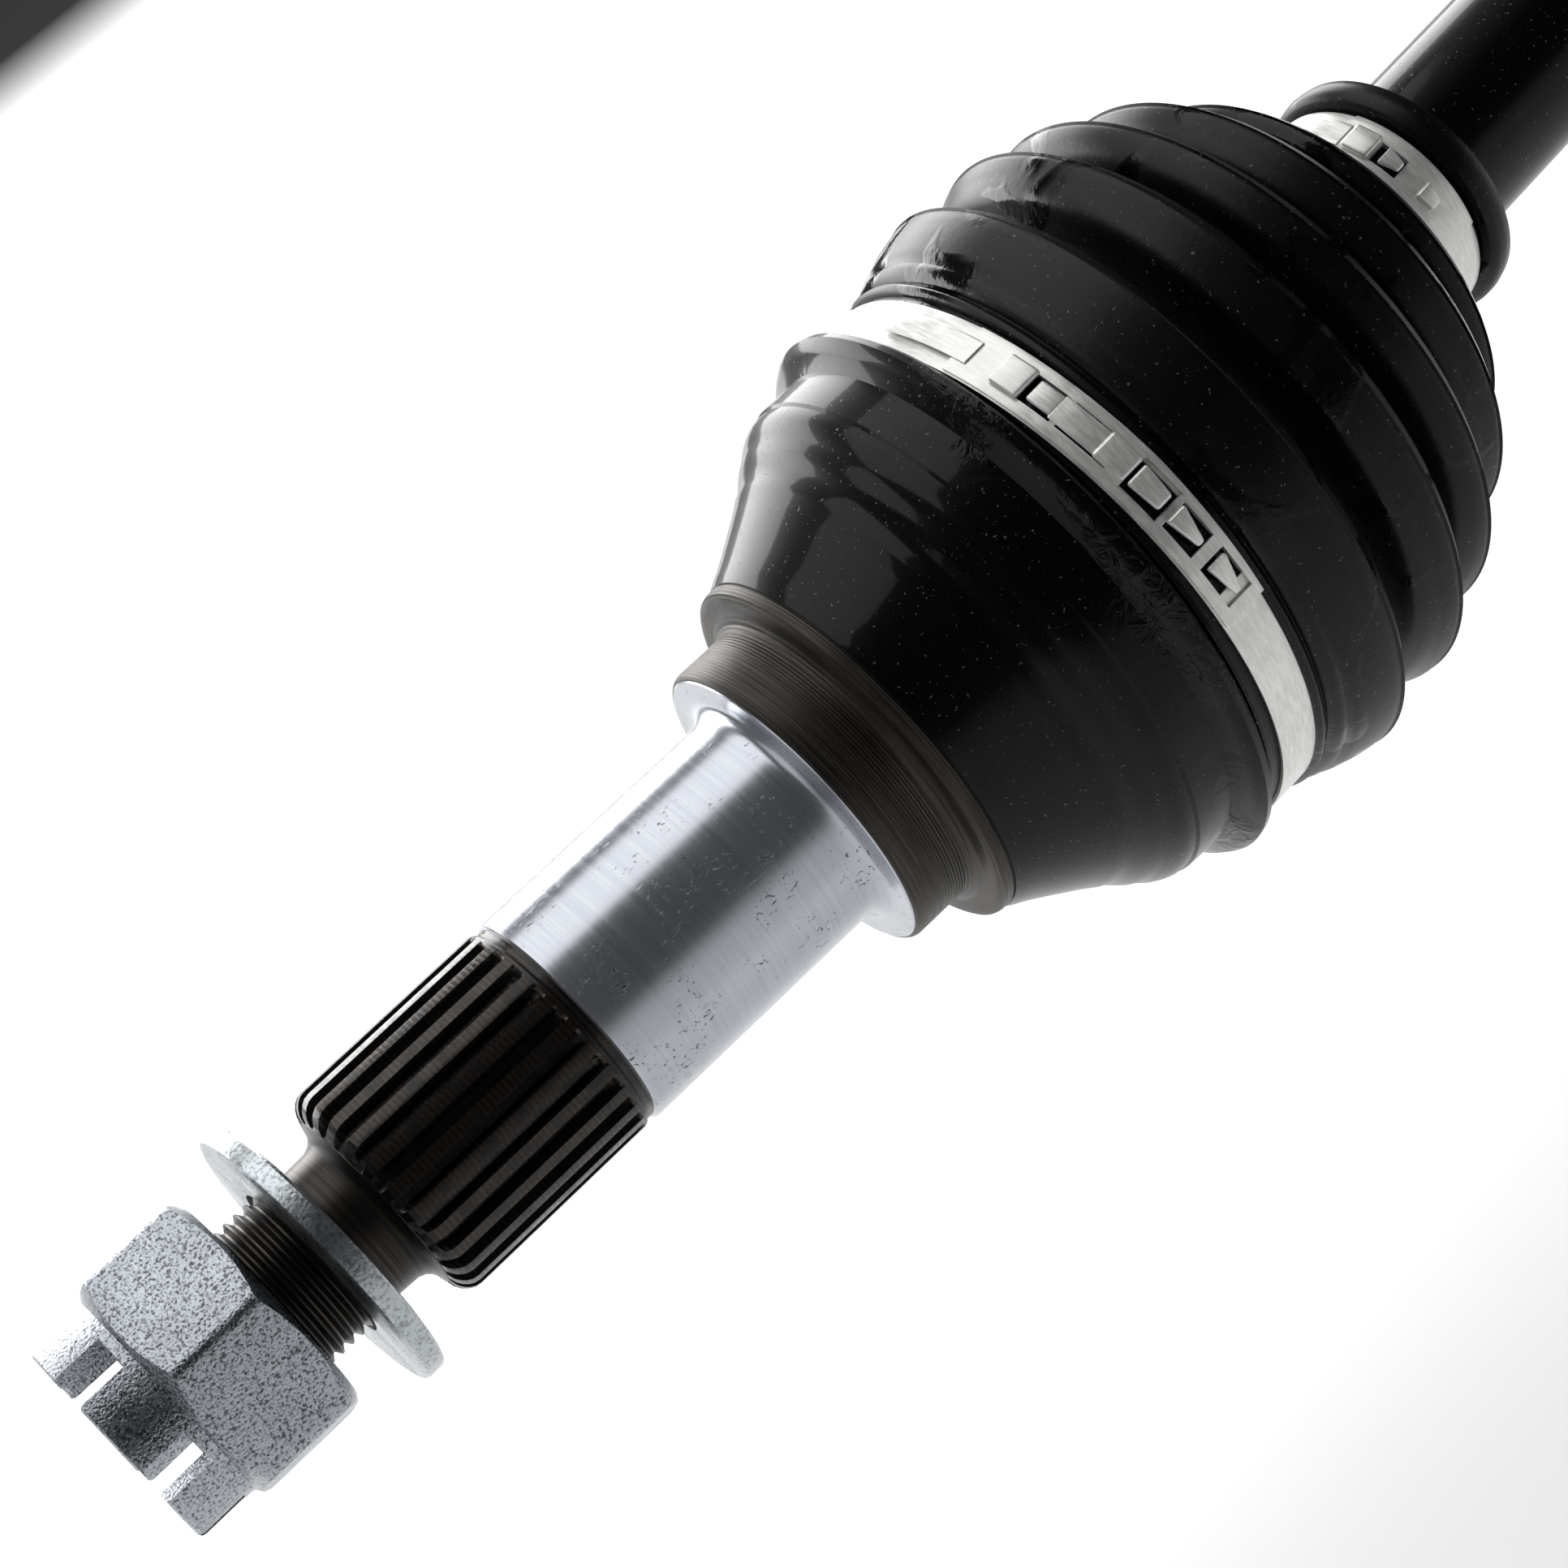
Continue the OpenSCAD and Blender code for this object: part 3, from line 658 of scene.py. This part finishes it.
def boot_outline():
    """Outside of the outer boot: seat, first broad fold, then smaller folds, each with a sharp crest."""
    pts = [(-58.0, 37.4, 1), (-58.05, 38.2), (-58.5, 38.75), (-58.8, 38.6), (-59.0, 38.4, 1),
           (-66.1, 38.4, 1),
           (-66.3, 39.0), (-66.8, 39.5), (-67.3, 39.4), (-67.6, 38.9, 1), (-68.0, 38.9, 1), (-68.4, 39.6),
           (-69.2, 40.2), (-69.9, 40.3), (-70.2, 40.25, 1), (-71.0, 40.9), (-73.6, 41.8)]
    for i, (cx, cr, vx, vr) in enumerate(BOOT_WAVES):
        pts += [(cx + 1.0, cr - 0.02), (cx + 0.16, cr - 0.05, 1), (cx, cr + 0.22, 1),
                (cx - 0.16, cr - 0.1, 1),
                (cx - 1.0, cr - 0.8), (cx - 2.3, cr - 2.9), (vx + 0.4, vr + 0.5), (vx, vr)]
        if i < 4:
            nx, nr = BOOT_WAVES[i + 1][:2]
            pts += [(vx - 0.7, vr + 1.0), (vx - 1.8, vr + (nr - vr) * 0.6), (nx + 2.2, nr - 0.9)]
    end = JOINT_X - SMALL_END
    pts += [(-122.4, 16.6), (end + 2.6, 15.6), (end + 2.0, 15.4, 1), (end - 5.9, 15.4, 1),
            (end - 6.1, 16.6, 1), (end - 6.7, 17.3), (end - 8.4, 17.5), (end - 9.8, 17.2),
            (end - 10.9, 15.6), (end - 11.5, 13.2, 1)]
    return smooth_profile(pts, step=0.75)


def inside(outline, wall, seat_x, seat_r, end_x, bore):
    """Inner surface of a boot, walked back from the small end."""
    back = []
    for x, r in reversed(outline[::2]):
        if x > seat_x:
            back.append((x, seat_r))
        elif x < end_x:
            back.append((x, bore))
        else:
            back.append((x, max(bore, r - wall)))
    return back


def bend(co):
    """Carries a straight boot onto the rest bend, shared out along its length."""
    t = min(1.0, max(0.0, (FLEX_START - co.x) / FLEX_LENGTH))
    a = REST_BEND * t * t * (3 - 2 * t)
    u = co.x - JOINT_X
    x = JOINT_X + u * math.cos(a) - co.y * math.sin(a)
    return Vector((x, u * math.sin(a) + co.y * math.cos(a), co.z))


class CVAXLE_OT_boots(bpy.types.Operator):
    """Outer boot in one piece, set at the joint's rest bend, and the inner boot in two"""
    bl_idname = "cvaxle.boots"
    bl_label = "Rubber boots"

    def execute(self, context):
        s = context.scene.cv_boots
        rubber = finish("rubber", boot_rubber)
        outline = boot_outline()
        back = inside(outline, s.wall, BELL_END, 36.05, JOINT_X - SMALL_END + 5, 12.05)
        bm = turned(outline + back, steps=s.steps)
        bmesh.ops.remove_doubles(bm, verts=bm.verts[:], dist=MERGE)
        bmesh.ops.recalc_face_normals(bm, faces=bm.faces[:])
        for v in bm.verts:
            v.co = bend(v.co)
        boot = finish_piece("outer_boot_rubber", bm, rubber, None, replaces=("outer_boot",),
                            angle=60.0, recalc=False)
        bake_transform(boot)

        inner = bar_matrix(CENTRES)
        seat, bore = 32.1, 12.05
        waves = [(30, 35.4, 34.4, 30.2), (38.4, 33.2, 42.6, 27.6), (46.4, 29.8, 50.4, 24.0),
                 (54.2, 25.6, 58.0, 19.6), (61.6, 21.2, 65.6, 16.4)]
        first = [(9.6, seat + 0.2, 1), (9.6, seat + 2.4, 1), (22.0, seat + 2.4, 1), (22.6, seat + 3.2),
                 (25, seat + 3.4), (27.4, seat + 3.1)]

        def folds(chosen):
            out = []
            for i, (cx, cr, vx, vr) in chosen:
                out += [(cx - 0.1, cr - 0.1, 1), (cx, cr + 0.12, 1), (cx + 0.1, cr - 0.1, 1),
                        (cx + 1.3, cr - 1.2), (vx - 0.4, vr + 0.5), (vx, vr)]
                if i < 4:
                    nx, nr = waves[i + 1][:2]
                    out += [(vx + 0.8, vr + 0.8), (nx - 1.8, nr - 1.0)]
            return out

        numbered = list(enumerate(waves))
        outer_part = smooth_profile(first + folds(numbered[:2])[:-2], step=0.8)
        inner_part = smooth_profile([(42.6, 27.6), (43.4, 28.4), (44.6, 28.8)] + folds(numbered[2:]) + [
            (67.4, 15.8), (69, 15.5, 1), (79, 15.5, 1), (79.2, 16.4, 1), (81, 16.8), (83, 16.4),
            (84.4, 13.2, 1)], step=0.8)
        for name, part, pair, ends, node in (
                ("inner_boot_big_end", outer_part, ("inner_boot_body", "gearbox_stub"), (44, 24),
                 "inner_boot"),
                ("inner_boot_small_end", inner_part, ("bar", "inner_boot_body"), (68, 44), None)):
            back = [(x, (seat if x < 23 else bore if x > 69 else max(bore, r - s.wall)))
                    for x, r in reversed(part[::2])]
            if back[0][0] < part[-1][0]:
                back.insert(0, (part[-1][0], max(bore, part[-1][1] - s.wall)))
            bm = turned(part + back, steps=144)
            piece = finish_piece(name, bm, rubber, None, matrix=inner, angle=60.0,
                                 replaces=(node,) if node else ())
            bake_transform(piece)
        return {"FINISHED"}


def strip(bm, radius, x0, width, start, stop, windows=()):
    """A band of strip about X from one angle to another, in degrees, with windows cut through it."""
    turns = max(2, round((stop - start) / 1.2))
    rows = 14
    made = bmesh.ops.create_grid(bm, x_segments=turns, y_segments=rows, size=0.5)
    faces = {f for v in made["verts"] for f in v.link_faces}
    gone = []
    for f in faces:
        c = f.calc_center_median()
        angle = start + (c.x + 0.5) * (stop - start)
        across = c.y * width
        for at, length, wide in windows:
            if abs(angle - at) < length / 2 and abs(across) < wide / 2:
                gone.append(f)
                break
    bmesh.ops.delete(bm, geom=gone, context="FACES")
    for v in [v for v in made["verts"] if v.is_valid]:
        a = math.radians(start + (v.co.x + 0.5) * (stop - start))
        x = x0 + width / 2 + v.co.y * width
        edge = 0.12 if abs(abs(v.co.y) - 0.5) < 1e-4 else 0.0
        v.co = Vector((x, (radius - edge) * math.cos(a), (radius - edge) * math.sin(a)))


def lug(bm, radius, x, angle, size, bevel=0.4, point=1.0):
    """A raised bevelled pad on the band; size is (across, around, high), point narrows its lower end."""
    at = Matrix.Rotation(math.radians(angle), 4, "X") @ Matrix.Translation((x, radius + size[2] / 2, 0))
    made = bmesh.ops.create_cube(bm, size=1.0, matrix=Matrix.Diagonal((size[0], size[2], size[1], 1)))
    for v in made["verts"]:
        if v.co.z < 0:
            v.co.x *= point
            v.co.y = v.co.y * (0.5 + 0.5 * point) - size[2] * 0.2 * (1 - point)
    edges = {e for v in made["verts"] for e in v.link_edges}
    bmesh.ops.transform(bm, matrix=at, verts=made["verts"])
    bmesh.ops.bevel(bm, geom=list(edges), offset=bevel, offset_type="OFFSET", affect="EDGES", segments=3,
                    profile=0.5, material=-1, clamp_overlap=True)


def clamp(name, radius, x0, width, replaces, body, matrix, features, windows, overlap=(-8, 62)):
    """Hooked band clamp: a turn of strip, a second layer with a tongue over the closure, hooks on top."""
    steel = finish("clamp", clamp_steel)
    t = STRIP_THICK
    bm = bmesh.new()
    strip(bm, radius + t, x0, width, 0, 360, windows)
    bmesh.ops.remove_doubles(bm, verts=bm.verts[:], dist=0.01)
    bmesh.ops.recalc_face_normals(bm, faces=bm.faces[:])
    bmesh.ops.solidify(bm, geom=bm.faces[:], thickness=t)
    top = bmesh.new()
    strip(top, radius + 2 * t + 0.03, x0 + 0.15, width - 0.3, overlap[0], overlap[1], windows)
    strip(top, radius + 2 * t + 0.3, x0 + width * 0.26, width * 0.48, overlap[1] - 3, overlap[1] + 18)
    bmesh.ops.recalc_face_normals(top, faces=top.faces[:])
    bmesh.ops.solidify(top, geom=top.faces[:], thickness=t)
    mesh = bpy.data.meshes.new("strip")
    top.to_mesh(mesh)
    top.free()
    bm.from_mesh(mesh)
    bpy.data.meshes.remove(mesh)
    for angle, across, around, high, bevel, point in features:
        lug(bm, radius + 2 * t - 0.1, x0 + width / 2, angle, (across, around, high), bevel, point)
    return finish_piece(name, bm, steel, body, matrix=matrix, angle=30.0,
                        replaces=(replaces,))


class CVAXLE_OT_clamps(bpy.types.Operator):
    """Four stainless boot clamps with hooks and windows"""
    bl_idname = "cvaxle.clamps"
    bl_label = "Boot clamps"

    def execute(self, context):
        s = context.scene.cv_boots
        # angle, across, around, high, bevel, narrowing
        large = [(50.2, 4.4, 4.2, 0.9, 0.42, 1.0), (43.4, 3.0, 3.6, 0.7, 0.34, 1.0),
                 (35.6, 3.5, 7.6, 0.45, 0.2, 1.0),
                 (28.3, 4.0, 4.6, 0.95, 0.9, 0.95), (21.0, 3.3, 4.6, 0.9, 0.42, 0.75),
                 (12.2, 2.9, 4.6, 0.95, 0.4, 0.35),
                 (2.0, 2.9, 4.6, 0.95, 0.4, 0.35)]
        windows = [(44.0, 7.6, 4.2), (33.6, 11.0, 4.3), (20.6, 8.4, 4.5), (11.8, 8.0, 4.3), (1.6, 8.4, 4.3)]
        middle = Vector((BAND_X + BAND_WIDTH / 2, 0, 0))
        lean = (Matrix.Translation(middle) @ Matrix.Rotation(math.radians(2.4), 4, (0.0, 0.92, 0.38))
                @ Matrix.Rotation(math.radians(1.0), 4, (0.0, -0.38, 0.92)) @ Matrix.Translation(-middle))
        clamp("outer_large_band_clamp", s.band_radius, BAND_X, BAND_WIDTH, "outer_large_clamp",
              "wheel_stub", matrix=lean, features=large, windows=windows, overlap=(-4.8, 62))
        small = [(50.0, 4.0, 4.0, 1.0, 0.45, 1.0), (34.0, 3.0, 2.8, 0.8, 0.35, 0.5),
                 (12.0, 3.0, 2.8, 0.8, 0.35, 0.6)]
        clamp("outer_small_band_clamp", 15.45, -SMALL_END - 5.2, 8.0, "outer_small_clamp", "bar",
              matrix=bar_matrix(), features=small, windows=[(36.0, 14.0, 3.6)], overlap=(-12, 62))
        clamp("inner_large_band_clamp", 34.55, 13, 6.6, "inner_large_clamp", "gearbox_stub",
              matrix=bar_matrix(CENTRES), features=large, windows=windows)
        clamp("inner_small_band_clamp", 15.55, 71, 6.6, "inner_small_clamp", "bar",
              matrix=bar_matrix(CENTRES), features=small, windows=[(36.0, 14.0, 3.6)], overlap=(-12, 62))
        return {"FINISHED"}


class CVAXLE_OT_running_gear(bpy.types.Operator):
    """Finishes for the bar, housing, cages, races, balls and rings"""
    bl_idname = "cvaxle.running_gear"
    bl_label = "Bar and inner parts"

    def execute(self, context):
        chosen = {
            "axle_shaft": finish("bar_paint", gloss_black_paint, name="gloss_black_enamel_bar"),
            "inner_housing": finish("housing", housing_finish)}
        cage = finish("cage", hardened, name="phosphated_cage_steel", colour="#5c5955",
                      blotch="#45413c")
        race = finish("race", hardened, turn=REST_BEND)
        ball = finish("ball", hardened, name="lapped_ball_steel", colour="#c4c7ca", rough=0.14,
                      blotch="#b0b4b8")
        wire = finish("wire", hardened, name="spring_wire", colour="#6d6a66", blotch="#58544f")
        for side in ("outer", "inner"):
            chosen[f"{side}_cage"] = cage
            chosen[f"{side}_inner_race"] = race
            chosen[f"{side}_race_circlip"] = wire
            for i in range(1, 7):
                chosen[f"{side}_ball_{i}"] = ball
        chosen["inner_stopper_ring"] = chosen["inner_stub_circlip"] = wire
        for name, material in chosen.items():
            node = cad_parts[name]
            for slot in node.material_slots:
                slot.material = material
        return {"FINISHED"}


class CVAXLE_OT_stage(bpy.types.Operator):
    """Pale floor, soft lights and the camera"""
    bl_idname = "cvaxle.stage"
    bl_label = "Floor, lights and camera"

    def execute(self, context):
        s = context.scene.cv_stage
        scene = context.scene
        bm = bmesh.new()
        bmesh.ops.create_grid(bm, x_segments=1, y_segments=1, size=6.0,
                              matrix=Matrix.Translation((0, 0, s.floor_z)))
        mesh = bpy.data.meshes.new("floor")
        bm.to_mesh(mesh)
        bm.free()
        floor = bpy.data.objects.new("floor", mesh)
        scene.collection.objects.link(floor)
        # matt white studio paper: it bounces light and shows no texture of its own
        paper = start_material("white_studio_paper", "#f4f4f4", 0.0, 0.9, Specular_IOR_Level=0.1)[0]
        mesh.materials.append(paper)

        world = bpy.data.worlds.new("studio")
        world.use_nodes = True
        scene.world = world
        back = world.node_tree.nodes["Background"]
        back.inputs["Color"].default_value = linear("#f2f4f6")
        back.inputs["Strength"].default_value = 0.045

        def softbox(name, at, target, size, watts):
            """A white rectangular lamp, in metres and watts, that the camera doesn't see."""
            light = bpy.data.lights.new(name, "AREA")
            light.shape, light.size, light.size_y = "RECTANGLE", size[0], size[1]
            light.energy = watts
            holder = bpy.data.objects.new(name, light)
            scene.collection.objects.link(holder)
            holder.visible_camera = False
            aim = Vector(target) - Vector(at)
            holder.matrix_world = Matrix.Translation(at) @ aim.to_track_quat("-Z", "Y").to_matrix().to_4x4()

        softbox("top_box", (0.0, -0.05, 0.8), (0, 0, 0), (1.4, 0.7), 6.0)
        softbox("back_box", (-0.1, -1.95, 0.85), (0, -0.7, -0.15), (3.4, 1.3), 88)
        softbox("end_box", (0.95, -0.1, 0.25), (0, 0, 0), (0.5, 0.6), 0.9)

        scene.view_settings.view_transform = "Standard"   # keeps the white paper white and the enamel black

        camera = bpy.data.cameras.new("camera")
        camera.lens, camera.sensor_width = s.lens, 36.0
        camera.clip_start, camera.clip_end = 0.01, 50
        holder = bpy.data.objects.new("camera", camera)
        scene.collection.objects.link(holder)
        a, e = s.azimuth, s.elevation
        out = Vector((math.sin(a) * math.cos(e), -math.cos(a) * math.cos(e), math.sin(e)))
        right = Vector((math.cos(a), math.sin(a), 0))
        up = out.cross(right)
        side = right * math.cos(s.roll) + up * math.sin(s.roll)
        over = up * math.cos(s.roll) - right * math.sin(s.roll)
        at = Vector(CAMERA_TARGET) + out * s.distance
        holder.matrix_world = Matrix((
            (side.x, over.x, out.x, at.x), (side.y, over.y, out.y, at.y), (side.z, over.z, out.z, at.z),
            (0, 0, 0, 1)))
        scene.camera = holder
        return {"FINISHED"}


class CVAXLE_PT_panel(bpy.types.Panel):
    """Lists the pieces of the axle"""
    bl_label = "CV axle"
    bl_idname = "CVAXLE_PT_panel"
    bl_space_type = "VIEW_3D"
    bl_region_type = "UI"
    bl_category = "CV axle"

    def draw(self, context):
        scene = context.scene
        for group in (scene.cv_stub, scene.cv_hardware, scene.cv_boots, scene.cv_stage):
            box_area = self.layout.box()
            for name in group.__annotations__:
                box_area.prop(group, name)
        for operator in OPERATORS:
            self.layout.operator(operator.bl_idname)


OPERATORS = (CVAXLE_OT_bell, CVAXLE_OT_stub, CVAXLE_OT_nut, CVAXLE_OT_boots, CVAXLE_OT_clamps,
             CVAXLE_OT_running_gear, CVAXLE_OT_stage)
GROUPS = {"cv_stub": StubSettings, "cv_hardware": HardwareSettings, "cv_boots": BootSettings,
          "cv_stage": StageSettings}


def register():
    for cls in (*GROUPS.values(), *OPERATORS, CVAXLE_PT_panel):
        bpy.utils.register_class(cls)
    for name, group in GROUPS.items():
        setattr(bpy.types.Scene, name, bpy.props.PointerProperty(type=group))


def unregister():
    for name in GROUPS:
        delattr(bpy.types.Scene, name)
    for cls in (CVAXLE_PT_panel, *reversed(OPERATORS), *GROUPS.values()):
        bpy.utils.unregister_class(cls)


def main():
    register()
    bpy.ops.cvaxle.bell()
    bpy.ops.cvaxle.stub()
    bpy.ops.cvaxle.nut()
    bpy.ops.cvaxle.boots()
    bpy.ops.cvaxle.clamps()
    bpy.ops.cvaxle.running_gear()
    bpy.ops.cvaxle.stage()


if __name__ == "__main__":
    main()
